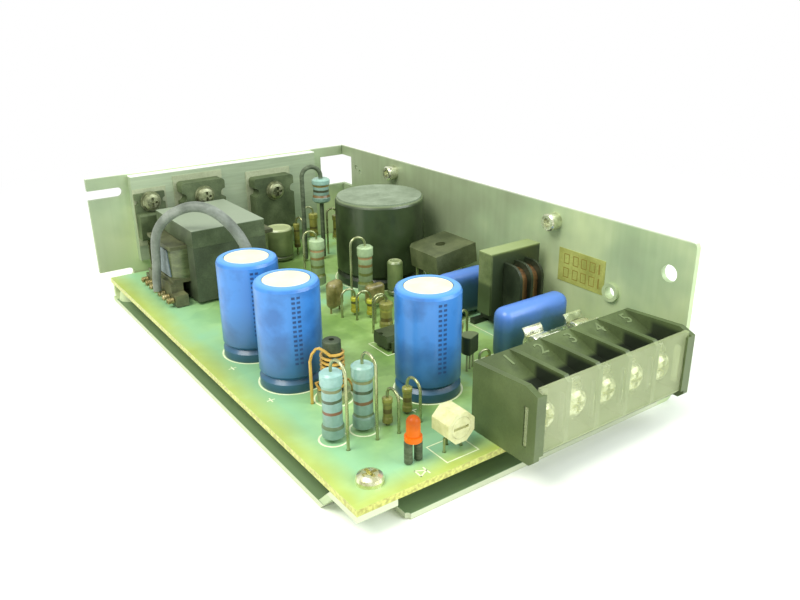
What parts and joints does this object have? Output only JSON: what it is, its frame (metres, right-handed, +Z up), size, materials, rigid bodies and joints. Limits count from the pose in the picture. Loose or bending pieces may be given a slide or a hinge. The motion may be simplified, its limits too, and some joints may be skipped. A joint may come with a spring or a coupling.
{
  "type": "open frame power supply",
  "caption": "Open frame switching power supply: a through-hole circuit board on an L-section sheet chassis, with a covered screw terminal block.",
  "frame": {"origin": "centre of the unit's box on its base sheet's underside", "axes": "+X across, towards the side wall; +Y along the board, from the terminal block to the end wall; +Z up from the base"},
  "size_m": [0.0992, 0.1698, 0.043],
  "materials": {
    "aluminium_sheet": "dull mill sheet, passivated",
    "spreader_aluminium": "fine extruded lines, satin",
    "board_laminate": "yellow-green solder mask, satin",
    "solder": "bright tin-lead, smooth",
    "zinc_screws": "zinc plated, faint yellow",
    "nickel_steel": "nickel plated, bright",
    "label_film": "yellow printed film",
    "pad_silicone": "pale silicone pad, matt",
    "epoxy_black": "moulded epoxy, fine grain",
    "epoxy_metal": "tinned tab with moulded epoxy",
    "tinned_wire": "tinned wire, bright",
    "ferrite_dark": "ground ferrite, matt",
    "ferrite_grey": "varnished ferrite, satin",
    "former_brown": "phenolic former, satin",
    "coil_tape": "varnished polyester tape",
    "wound_pins": "soldered copper wraps",
    "tape_blue": "woven sleeving, matt",
    "sleeve_grey": "soft sleeve, matt",
    "can_aluminium": "drawn can, satin",
    "sleeve_blue": "shrink sleeve, gloss",
    "disc_white": "card disc, matt",
    "sleeve_black": "shrink sleeve, gloss",
    "disc_green": "fibre disc, matt",
    "film_blue": "dipped epoxy, gloss",
    "choke_ferrite": "coated ferrite, satin",
    "former_black": "nylon former, satin",
    "enamel_wire": "enamelled copper, gloss",
    "clip_brass": "nickel-plated spring brass",
    "fuse_glass": "clear glass",
    "block_plastic": "glass-filled nylon, satin",
    "cover_clear": "clear polycarbonate, gloss",
    "orange_wire": "enamelled wire, gloss",
    "seat_green": "fibre seat, matt",
    "resistor_cyan": "lacquered ceramic, gloss",
    "resistor_tan": "lacquered ceramic, satin",
    "resistor_pale": "lacquered ceramic, gloss",
    "sleeving_black": "glass-fibre sleeving, matt",
    "lens_red": "tinted epoxy lens",
    "trimmer_white": "moulded thermoplastic, satin",
    "can_olive": "shrink sleeve, gloss",
    "dip_brown": "dipped ceramic, gloss",
    "diode_yellow": "lacquered bead, gloss"
  },
  "bodies": {
    "frame": {"chassis": "aluminium_sheet", "circuit_board": "board_laminate", "solder_joints": "solder", "board_screws": "zinc_screws", "cover_nuts": "nickel_steel", "input_label": "label_film", "heat_spreader": "spreader_aluminium", "insulating_pads": "pad_silicone", "switching_transistor": "epoxy_black", "output_rectifier": "epoxy_black", "start_transistor": "epoxy_metal", "device_leads": "tinned_wire", "device_screws": "zinc_screws", "transformer_core_e": "ferrite_dark", "transformer_core_i": "ferrite_grey", "transformer_bobbin": "former_brown", "transformer_winding": "coil_tape", "transformer_pins": "wound_pins", "winding_tape": "tape_blue", "lead_sleeve": "sleeve_grey", "output_capacitor_1": "can_aluminium", "output_capacitor_2": "can_aluminium", "output_capacitor_3": "can_aluminium", "capacitor_sleeves": "sleeve_blue", "capacitor_discs": "disc_white", "bulk_capacitor": "can_aluminium", "bulk_sleeve": "sleeve_black", "bulk_disc": "disc_green", "bridge_rectifier": "epoxy_black", "choke_core": "choke_ferrite", "choke_bobbin": "former_black", "choke_windings": "enamel_wire", "line_film_capacitor": "film_blue", "rear_film_capacitor": "film_blue", "fuse_clips": "clip_brass", "fuse_caps": "nickel_steel", "fuse_glass": "fuse_glass", "terminal_block": "block_plastic", "terminal_plates": "nickel_steel", "terminal_screws": "zinc_screws", "terminal_cover": "cover_clear", "rod_ferrite": "ferrite_dark", "rod_winding": "orange_wire", "rod_seat": "seat_green", "power_resistor_1": "resistor_cyan", "power_resistor_2": "resistor_cyan", "bleeder_resistors": "resistor_tan", "raised_resistor": "resistor_pale", "small_resistors": "resistor_tan", "component_leads": "tinned_wire", "lead_sleeving": "sleeving_black", "indicator_led": "lens_red", "trimmer_body": "trimmer_white", "small_electrolytics": "can_olive", "disc_capacitors": "dip_brown", "optocoupler": "epoxy_black", "small_transistors": "epoxy_black", "signal_diodes": "diode_yellow"},
    "adjuster_rotor": {"trimmer_rotor": "trimmer_white"}
  },
  "joints": [
    {"name": "trimmer_turn", "type": "hinge", "parent": "frame", "child": "adjuster_rotor", "pos_m": [-0.01885, -0.0721, 0.0145], "axis": [0, 1, 0], "range_deg": [-130, 130]}
  ]
}
